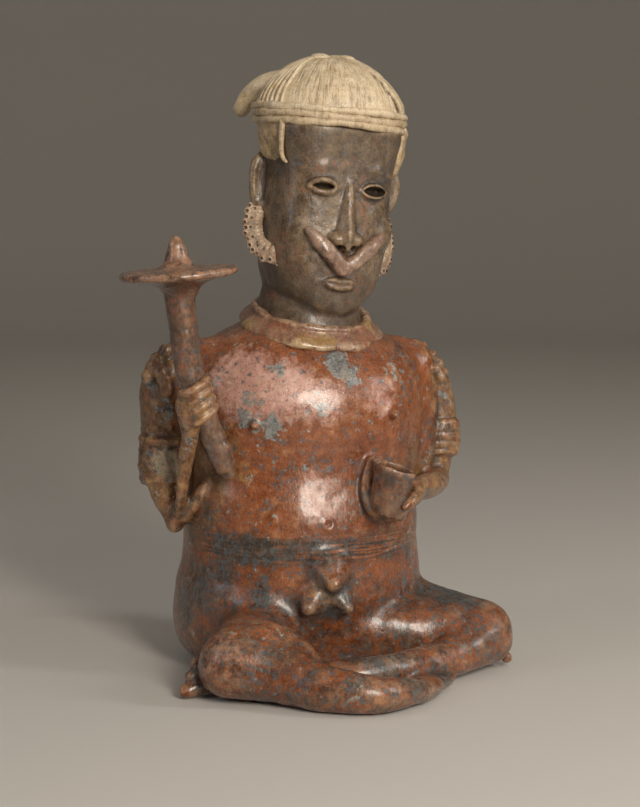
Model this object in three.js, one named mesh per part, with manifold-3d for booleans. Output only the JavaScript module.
// A seated earthenware figure, cross-legged, with a club in its right hand and a small cup in its left.
// Millimetres, +Z up. The figure faces -Y, its own right side is -X, and it rests on the plane Z = 0.
import * as THREE from "three";
import { mergeVertices } from "three/addons/utils/BufferGeometryUtils.js";
import Module from "manifold-3d";

// The form is drawn in units of which the figure is 500 high, so every free shape follows its height.
const FIGURE_HEIGHT = 500;
const K = FIGURE_HEIGHT / 500;

// Worked details that keep their own size whatever the height is.
const CUP_RADIUS = 16.5;
const CUP_FOOT_RADIUS = 14.2;
const CUP_WALL = 2.8;
const CUP_HEIGHT = 40;
const CUP_FLOOR = 9;
const SHAFT_RADIUS = 11.6;
const DISC_RADIUS = 47;
const DISC_EDGE = 5.6;
const FINGER_RADIUS = 3.9;
const COIL_THICKNESS = 6.4;
const PELLET_RADIUS = 7;
const NOSE_BAR_RADIUS = 5.5;
const PENDANT_WIDTH = 12;
const SLIT_DEPTH = 12;
const NOSTRIL_RADIUS = 2.6;

// The places of the parts that lean or turn, in degrees.
const COLLAR_DIP = 13;
const HEAD_LEAN = 6.5;
const HEAD_TURN = 8;
const CAP_LEAN = -3.5;
const CUP_LEAN = 17;
const CUP_DIP = 7;
const DISC_LEAN = -4.3;
const GRIP_LEAN = -17;

const wasm = await Module();
wasm.setup();
const degrees = THREE.MathUtils.degToRad;
const point = (x, y, z) => new THREE.Vector3(x * K, y * K, z * K);
const moved = (x, y, z) => new THREE.Matrix4().makeTranslation(point(x, y, z));
const turned = (axis, angle) => new THREE.Matrix4()[`makeRotation${axis}`](degrees(angle));

// A real size in the units of the drawing.
const drawn = (size) => size / K;

// A closed geometry as a solid.
function clay(geometry, matrix) {
  const bare = geometry.clone();
  bare.deleteAttribute("normal");
  bare.deleteAttribute("uv");
  if (matrix) bare.applyMatrix4(matrix);
  const merged = mergeVertices(bare, 1e-4);
  return new wasm.Manifold(
    new wasm.Mesh({
      numProp: 3,
      vertProperties: merged.attributes.position.array,
      triVerts: new Uint32Array(merged.index.array),
    }),
  );
}

const join = (solids) => solids.reduce((whole, next) => whole.add(next));

// A body skinned over a spine. Each station is [x, y, z, half width, front depth, back depth].
// The front looks to the facing direction, and square is the power of the outline in front and behind.
function limb(stations, options = {}, matrix) {
  const { around = 12, along = 8, facing = [0, -1, 0], square = [2, 2], caps = [1, 1] } = options;
  const capRings = options.capRings ?? 2;
  const spine = new THREE.CatmullRomCurve3(stations.map((s) => point(s[0], s[1], s[2])));
  const sizes = new THREE.CatmullRomCurve3(
    stations.map((s) => point(s[3], s[4] ?? s[3], s[5] ?? s[4] ?? s[3])),
  );
  const rings = along + 2 * capRings;
  const geometry = new THREE.SphereGeometry(1, around, rings);
  const position = geometry.attributes.position;
  const toward = new THREE.Vector3(...facing).normalize();
  const width = new THREE.Vector3();
  const depth = new THREE.Vector3();
  const place = new THREE.Vector3();
  const power = (value, exponent) => Math.sign(value) * Math.abs(value) ** (2 / exponent);
  for (let ring = 0; ring <= rings; ring++) {
    // The sphere's first ring is its upper pole, which becomes the end of the spine.
    const step = rings - ring;
    const t = THREE.MathUtils.clamp((step - capRings) / along, 0, 1);
    const tangent = spine.getTangent(t);
    depth.copy(toward).addScaledVector(tangent, -toward.dot(tangent)).normalize();
    width.crossVectors(tangent, depth);
    const size = sizes.getPoint(t);
    const centre = spine.getPoint(t);
    let share = 1;
    const beyond = step < capRings ? capRings - step : step - capRings - along;
    if (beyond > 0) {
      const end = step < capRings ? 0 : 1;
      const turn = ((beyond / capRings) * Math.PI) / 2;
      const reach = Math.min(size.x, (size.y + size.z) / 2) * caps[end] * Math.sin(turn);
      centre.addScaledVector(tangent, end ? reach : -reach);
      share = Math.cos(turn);
    }
    for (let i = 0; i <= around; i++) {
      const angle = (i / around) * 2 * Math.PI;
      const forward = Math.sin(angle);
      const side = forward >= 0 ? 0 : 1;
      place
        .copy(centre)
        .addScaledVector(width, power(-Math.cos(angle), square[side]) * size.x * share)
        .addScaledVector(depth, power(forward, square[side]) * (side ? size.z : size.y) * share);
      position.setXYZ(ring * (around + 1) + i, place.x, place.y, place.z);
    }
  }
  return clay(geometry, matrix);
}

// A pressed ball of clay.
function ball(x, y, z, radius, stretch = [1, 1, 1], matrix, around = 6) {
  const sphere = new THREE.SphereGeometry(radius * K, around, Math.ceil(around * 0.6));
  sphere.scale(...stretch).translate(...point(x, y, z));
  return clay(sphere, matrix);
}

// A form turned round its own upright axis, from [radius, height] pairs.
const turnedForm = (profile, around) =>
  new THREE.LatheGeometry(profile.map(([r, z]) => new THREE.Vector2(r * K, z * K)), around).rotateX(
    degrees(90),
  );

// The trunk is a broad pot: a swelling belly, a sloping shoulder and a short neck.
function trunk() {
  const pot = [
    [-2, 2, 8, 95, 66, 66],
    [-4, 0, 27, 108, 80, 76],
    [-6, 0, 56, 107.5, 91, 80],
    [-8, 0, 78, 98, 94, 79],
    [-7, 0, 98, 94, 94, 76],
    [-5, 0, 128, 93.5, 93, 70],
    [-4, 0, 168, 97, 84, 66],
    [-3, 0, 210, 102, 76, 66],
    [-2.5, 0, 240, 99, 69, 60],
    [-2, 0, 257, 91, 60, 54],
    [-1.5, 0, 267, 79, 53, 50],
    [-1, 0, 277, 58, 47, 46],
    [-0.5, 0, 288, 42.5, 43, 42],
    [1, 0, 300, 40.5, 41, 40],
    [5, 0, 324, 41, 38, 38],
  ];
  const collar = turnedForm([[0, -8], [59, -8], [61.5, -4], [51, 9], [47, 9], [0, 8]], 18)
    .scale(0.97, 1, 1);
  const collarPlace = moved(0.5, 0, 280)
    .multiply(turned("Y", 4))
    .multiply(turned("X", COLLAR_DIP));
  const navel = new THREE.TorusGeometry(5 * K, 2.2 * K, 4, 8).rotateX(degrees(90));
  return [
    limb(pot, { around: 24, along: 14, square: [2.2, 2.2], caps: [0.15, 0.1], capRings: 1 }),
    clay(collar, collarPlace),
    clay(navel, moved(-9.5, -93, 130)),
    ball(-60.5, -64, 205, 5),
    ball(55, -64, 212, 5),
    ball(-6, -100, 88, 12, [0.9, 1, 1.1]),
    ball(-22, -100, 68, 12),
    ball(7, -100, 67, 11),
  ];
}

// Each leg is a thigh out to the knee, then a shin that crosses to the other side and ends in toes.
function legs() {
  const up = [0, 0, 1];
  const rightThigh = [
    [-46, -15, 40, 40, 38, 40],
    [-62, -78, 33, 35, 32, 33],
    [-80, -108, 32, 31, 30, 31],
    [-91, -122, 30, 28, 28, 28],
  ];
  const rightShin = [
    [-93, -124, 29, 27, 27, 27],
    [-60, -142, 22, 22, 22, 21],
    [-28, -172, 17, 18, 18, 17],
    [3, -188, 14.5, 16, 15, 14.5],
    [32, -177, 12, 13, 12, 12],
    [56, -152, 9, 12, 9, 9],
    [76, -128, 7, 10, 5, 6],
  ];
  const leftThigh = [
    [58, -8, 42, 38, 36, 40],
    [92, -38, 34, 32, 28, 31],
    [127, -74, 30, 27, 27, 26],
  ];
  const leftShin = [
    [128, -80, 27, 24, 24, 24],
    [98, -102, 21, 18, 17, 18],
    [62, -124, 19, 15, 15, 15],
    [20, -144, 20, 14, 14, 14],
    [-32, -139, 16, 13, 13, 12],
    [-80, -106, 12, 12, 11, 10],
    [-106, -98, 12, 11, 10, 9],
  ];
  const solids = [
    limb(rightThigh, { around: 12, along: 5, facing: up }),
    limb(rightShin, { around: 12, along: 6, facing: up }),
    limb(leftThigh, { around: 12, along: 4, facing: up }),
    limb(leftShin, { around: 10, along: 6, facing: up }),
  ];
  for (let toe = 0; toe < 3; toe++) {
    const farFoot = [
      [-109, -101 - toe * 4, 20 - toe * 7, 5],
      [-124 - toe, -107 - toe * 3, 17 - toe * 6, 4.2],
    ];
    const nearFoot = [
      [75 - toe * 4, -120 - toe * 8, 8, 4.5],
      [90 - toe * 4, -112 - toe * 8, 5, 4],
    ];
    solids.push(limb(farFoot, { around: 6, along: 1, facing: up, capRings: 1 }));
    solids.push(limb(nearFoot, { around: 6, along: 1, facing: up, capRings: 1 }));
  }
  solids.push(ball(147, -80, 8, 5));
  return solids;
}

// The right arm bends up to hold the club, and the left arm comes across to hold the cup.
function arms() {
  const rightUpper = [
    [-100, 8, 250, 22, 22, 24],
    [-116, 6, 234, 22, 22, 24],
    [-120, 4, 205, 20, 21, 23],
    [-121, 1, 170, 18, 19, 20],
    [-120, -8, 145, 13, 15, 15],
    [-116, -20, 124, 10, 10, 10],
  ];
  const rightFore = [
    [-116, -24, 123, 10, 9, 10],
    [-118, -40, 156, 6, 6, 7],
    [-117, -52, 185, 7, 6, 8],
    [-115, -63, 210, 9.5, 7, 8],
    [-114, -67, 226, 8, 7, 8],
  ];
  const leftUpper = [
    [86, 8, 250, 20, 20, 22],
    [104, 6, 236, 19, 20, 22],
    [112, 4, 210, 15, 18, 20],
    [113, 1, 180, 13, 17, 18],
    [109, -6, 156, 12, 13, 15],
    [104, -12, 146, 11, 10, 12],
  ];
  const leftFore = [
    [106, -14, 146, 11, 11, 11],
    [94, -42, 147, 10, 10, 10],
    [74, -70, 149, 10, 10, 10],
    [56, -90, 148, 10, 10, 10],
  ];
  const brace = [
    [-93, -40, 154, 3.5, 3.5, 6],
    [-110, -30, 131, 3.5, 3.5, 6],
  ];
  const rightBand = [
    [-121, 3, 187, 21.5, 23, 24],
    [-121.5, 0, 158, 18.5, 20, 21],
  ];
  const leftBand = [
    [114.5, 3, 197, 18, 20, 21],
    [112.5, -1, 172, 17.5, 19, 20],
  ];
  const armpit = [
    [-103, 4, 202, 8, 10, 10],
    [-104, -7, 141, 8, 9, 9],
  ];
  const cuff = { around: 10, along: 1, caps: [0, 0], capRings: 1 };
  const solids = [
    limb(rightUpper, { around: 10, along: 5 }),
    limb(rightFore, { around: 8, along: 5 }),
    limb(rightBand, cuff),
    limb(brace, { around: 6, along: 1 }),
    limb(armpit, { around: 8, along: 1, capRings: 1 }),
    limb(leftUpper, { around: 10, along: 5 }),
    limb(leftFore, { around: 10, along: 4, facing: [0, 0, 1] }),
    limb(leftBand, cuff),
  ];
  // Pellets stand along the rim of each shoulder, in two rows.
  const rims = [
    new THREE.QuadraticBezierCurve3(point(-106, -6, 262), point(-133, -6, 260), point(-135, -6, 236)),
    new THREE.QuadraticBezierCurve3(point(82, -5, 263), point(106, -6, 258), point(116, -6, 234)),
  ];
  for (const rim of rims) {
    for (let i = 0; i < 4; i++) {
      const p = rim.getPoint(i / 3).divideScalar(K);
      solids.push(ball(p.x, p.y, p.z, drawn(PELLET_RADIUS), [1, 1.2, 1]));
    }
  }
  return solids;
}

// The shaft leans outward as it rises, and a thin round disc with a blunt cone crowns it.
function club() {
  const shaftLine = [
    [-83, -62, 169, 0.6],
    [-92, -62, 188, 0.78],
    [-102, -63, 214, 0.92],
    [-109, -64, 236, 1],
    [-116, -65, 270, 1],
    [-119.5, -66, 300, 1],
    [-121, -66, 322, 1.2],
  ].map(([x, y, z, share]) => [x, y, z, drawn(SHAFT_RADIUS) * share]);
  const neck = drawn(SHAFT_RADIUS);
  const reach = drawn(DISC_RADIUS);
  const edge = drawn(DISC_EDGE) / 2;
  const below = [[0, -12], [neck * 1.12, -12], [neck * 1.65, -7.5], [reach - 4, -edge], [reach, 0]];
  const above = [[reach - 4, edge], [reach * 0.4, 5], [12, 8.5], [8, 18], [5, 26], [0, 29]];
  const disc = turnedForm([...below, ...above], 18);
  const solids = [
    limb(shaftLine, { around: 10, along: 6 }),
    clay(disc, moved(-121, -66, 326.5).multiply(turned("Y", DISC_LEAN))),
  ];
  // Four fingers come round the shaft from its outer side, square to its lean.
  const grip = moved(-107, -64, 227).multiply(turned("Y", GRIP_LEAN));
  const orbit = drawn(SHAFT_RADIUS + FINGER_RADIUS * 0.4);
  for (let finger = 0; finger < 4; finger++) {
    const level = drawn(FINGER_RADIUS * 1.95) * (1.5 - finger);
    const wrap = [185, 235, 285, 335].map((angle) => [
      orbit * Math.cos(degrees(angle)),
      orbit * Math.sin(degrees(angle)),
      level,
      drawn(FINGER_RADIUS),
    ]);
    solids.push(limb(wrap, { around: 6, along: 3, facing: [0, 0, 1], capRings: 1 }, grip));
  }
  return solids;
}

// The cup leans away from the body's middle, its rim at cupPlace, and the left hand holds it.
const cupPlace = moved(45, -100, 174)
  .multiply(turned("Y", CUP_LEAN))
  .multiply(turned("X", CUP_DIP));

const cupForm = (rimRadius, footRadius, top, bottom) =>
  clay(
    new THREE.CylinderGeometry(rimRadius, footRadius, top - bottom, 16, 1)
      .rotateX(degrees(90))
      .translate(0, 0, (top + bottom) / 2),
    cupPlace,
  );

const cupHollow = () =>
  cupForm(CUP_RADIUS - CUP_WALL, CUP_FOOT_RADIUS - CUP_WALL, CUP_WALL, CUP_FLOOR - CUP_HEIGHT);

function cup() {
  const radius = drawn(CUP_RADIUS);
  const height = drawn(CUP_HEIGHT);
  const finger = drawn(FINGER_RADIUS);
  const solids = [
    cupForm(CUP_RADIUS, CUP_FOOT_RADIUS, 0, -CUP_HEIGHT),
    ball(-0.36 * radius, 3, -0.8 * height, radius, [1, 1, 1.1], cupPlace, 8),
    ball(0.85 * radius, -0.6 * radius, -0.74 * height, finger * 1.5, [1.5, 1, 1], cupPlace),
  ];
  // Three fingers rise on the side of the cup that faces the body's middle.
  const orbit = radius + finger * 0.5;
  for (let i = 0; i < 3; i++) {
    const angle = degrees(160 + i * 30);
    const rise = [
      [0.55, -1, 1.2],
      [0.95, -0.76, 1.1],
      [1, -0.3 - i * 0.08, 0.9],
    ].map(([reach, level, thick]) => [
      orbit * reach * Math.cos(angle),
      orbit * reach * Math.sin(angle),
      height * level,
      finger * thick,
    ]);
    solids.push(limb(rise, { around: 6, along: 2, capRings: 1 }, cupPlace));
  }
  return solids;
}

// The head is drawn upright about its own axis, then turned and leaned on the neck.
const headPlace = moved(3.5, 0, 300)
  .multiply(turned("Y", HEAD_LEAN))
  .multiply(turned("Z", HEAD_TURN));

// The face keeps common proportions of a head 184 units high: eyes halfway up, one eye's width apart.
const FACE = { eyeLevel: 92, eyeWidth: 22, noseBase: 46, mouthLevel: 16 };

function head() {
  const skull = [
    [0, 0, -11, 16, 42, 10],
    [0, 0, -4, 30, 48, 28],
    [0, 0, 10, 43, 51, 38],
    [0, 0, 30, 49, 52, 43],
    [-1, 0, 60, 51, 52, 45],
    [-1, 0, 100, 51, 51, 47],
    [-2, 0, 140, 56, 54, 52],
  ];
  const nose = [
    [0, -45, FACE.noseBase + 3, 13, 23, 6],
    [0, -46, FACE.noseBase + 12, 10, 19, 6],
    [0, -46, FACE.noseBase + 34, 7, 11, 4],
    [0, -44, FACE.eyeLevel + 14, 5, 8, 3],
  ];
  const round = { around: 8, capRings: 1 };
  const solids = [
    limb(skull, { around: 20, along: 6, square: [2.9, 2.3], caps: [0.2, 0.1], capRings: 1 }, headPlace),
    limb(nose, { around: 10, along: 4, square: [1.5, 2], caps: [0.2, 0.4], capRings: 1 }, headPlace),
  ];
  // Raised lids and lips stand round the slits, and turn with the curve of the face.
  const rim = (x, z, half, height) =>
    clay(
      new THREE.TorusGeometry(1, 0.16, 4, 10)
        .scale(half * K, height * K, 16 * K)
        .rotateX(degrees(90))
        .rotateZ(degrees(x * 0.35)),
      headPlace.clone().multiply(moved(x, -51.5 + Math.abs(x) * 0.07, z)),
    );
  solids.push(rim(0, FACE.mouthLevel, 16, 5));
  for (const side of [-1, 1]) {
    solids.push(rim(side * FACE.eyeWidth, FACE.eyeLevel, FACE.eyeWidth / 2 + 2, 6));
    const ear = [
      [side * 48, 9, 110, 6, 5, 5],
      [side * 56.5 + 2.5, 9, 98, 9, 5, 5],
      [side * 58 + 2.5, 9, 86, 8, 5, 5],
      [side * 53, 7, 72, 6, 4, 4],
    ];
    const pendant = [
      [side * 58 + 1, 1, 69],
      [side * 61 + 1, -1, 53],
      [side * 60 + 1, -5, 38],
      [side * 52 + 1, -12, 29],
      [side * 41, -20, 29],
    ].map((place) => [...place, drawn(PENDANT_WIDTH) / 2, 3.5]);
    const noseBar = [
      [side * 1, -57, 29, drawn(NOSE_BAR_RADIUS)],
      [side * 15, -56, 41, drawn(NOSE_BAR_RADIUS)],
      [side * 30, -51, 55, drawn(NOSE_BAR_RADIUS) * 0.85],
    ];
    const flap = [
      [side * 55 - 1, -7, 142, 14, 6, 7],
      [side * 53 - 1, -8, 126, 14, 6, 8],
      [side * 51 - 1, -9, 114, 11, 4, 8],
    ];
    const outward = [side * 0.5, -0.87, 0];
    solids.push(
      limb(ear, { around: 6, along: 3, capRings: 1 }, headPlace),
      limb(pendant, { ...round, along: 5, facing: outward, square: [3, 3] }, headPlace),
      limb(noseBar, { ...round, along: 2 }, headPlace),
      limb(flap, { ...round, along: 2, facing: [side, 0, 0], square: [3, 2] }, headPlace),
    );
  }
  return solids;
}

// The openings of eyes, mouth and nostrils.
function headOpenings() {
  const slit = (x, z, half, height) =>
    clay(
      new THREE.SphereGeometry(1, 10, 5).scale(half * K, SLIT_DEPTH, height * K),
      headPlace.clone().multiply(moved(x, -52, z)),
    );
  const openings = [slit(0, FACE.mouthLevel, 12.5, 2.2)];
  for (const side of [-1, 1]) {
    openings.push(slit(side * FACE.eyeWidth, FACE.eyeLevel, FACE.eyeWidth / 2 - 1.5, 3.4));
    openings.push(ball(side * 5.5, -59, FACE.noseBase + 1, drawn(NOSTRIL_RADIUS), [1, 1.3, 2], headPlace));
  }
  return openings;
}

// The cap sits nearly level on the leaning head, with three coils round its rim.
const capPlace = headPlace
  .clone()
  .multiply(moved(-2.5, 0, 144.5))
  .multiply(turned("Y", CAP_LEAN));

function cap() {
  // One turned form: three round coils at the rim, then the dome up to a nearly flat crown.
  const coilRadius = drawn(COIL_THICKNESS) / 2;
  const rimTop = 2.9 * coilRadius;
  const profile = [[0, -3.2 * coilRadius]];
  for (let row = 0; row < 3; row++) {
    for (let step = 0; step < 3; step++) {
      const angle = degrees(-70 + step * 70);
      const middle = (row - 1) * 1.9 * coilRadius;
      profile.push([61.5 + coilRadius * Math.cos(angle), middle + coilRadius * Math.sin(angle)]);
    }
  }
  const crown = 55.2;
  const shares = [[60.5, 0.15], [57, 0.32], [48, 0.54], [35, 0.78], [20, 0.935], [6, 1], [0, 1]];
  profile.push(...shares.map(([reach, share]) => [reach, rimTop + share * (crown - rimTop)]));
  const dome = turnedForm(profile, 22).scale(1, 0.94, 1);
  const tail = [
    [-24, 34, 32, 9],
    [-39, 45, 28, 8.5],
    [-50, 53, 19, 8],
    [-55, 56, 9, 7],
  ];
  const solids = [
    clay(dome, capPlace),
    limb(tail, { around: 8, along: 3, facing: [0, 1, 0] }, capPlace),
    ball(8, -2, crown - 4.6, 6, [1.6, 1.2, 0.9], capPlace, 7),
  ];
  // A bundle of strands comes over the right side of the crown.
  const over = { around: 6, along: 4, facing: [-0.7, -0.2, 0.7], capRings: 1 };
  for (let strand = 0; strand < 3; strand++) {
    const y = -2 - strand * 9;
    const line = [
      [-14, -2 - strand * 2.5, 52.7, 4, 3, 4],
      [-36 + strand, y * 0.8, 42 - strand * 0.5, 4.5, 3, 5],
      [-52 + strand * 1.5, y, 27, 4.5, 3, 5],
      [-61 + strand * 2.5, y * 1.3, 9, 4, 3, 4],
    ];
    solids.push(limb(line, over, capPlace));
  }
  return solids;
}

// Everything is one fired piece, cut off flat below where it rests.
function figure() {
  const body = join([...trunk(), ...legs(), ...arms(), ...club(), ...cup(), ...head(), ...cap()]);
  const wide = 2 * FIGURE_HEIGHT;
  const ground = new THREE.BoxGeometry(wide, wide, FIGURE_HEIGHT).translate(0, 0, -FIGURE_HEIGHT / 2);
  const cuts = [clay(ground), cupHollow(), ...headOpenings()];
  return cuts.reduce((rest, cut) => rest.subtract(cut), body);
}

// The solid as a geometry, moved so that the origin lies below the middle of its box.
function geometryOf(solid) {
  const mesh = solid.getMesh();
  const geometry = new THREE.BufferGeometry();
  const places = new Float32Array(mesh.numVert * 3);
  for (let i = 0; i < mesh.numVert; i++) {
    const from = i * mesh.numProp;
    places.set(mesh.vertProperties.subarray(from, from + 3), i * 3);
  }
  geometry.setAttribute("position", new THREE.BufferAttribute(places, 3));
  geometry.setIndex(new THREE.BufferAttribute(mesh.triVerts, 1));
  geometry.computeBoundingBox();
  const middle = geometry.boundingBox.getCenter(new THREE.Vector3());
  return geometry.translate(-middle.x, -middle.y, 0);
}

const model = new THREE.Group();
const slip = new THREE.MeshStandardMaterial({ color: 0xa4573c, roughness: 0.4, metalness: 0 });
const seated = new THREE.Mesh(geometryOf(figure()), slip);
seated.name = "seated_figure";
model.add(seated);
export default model;
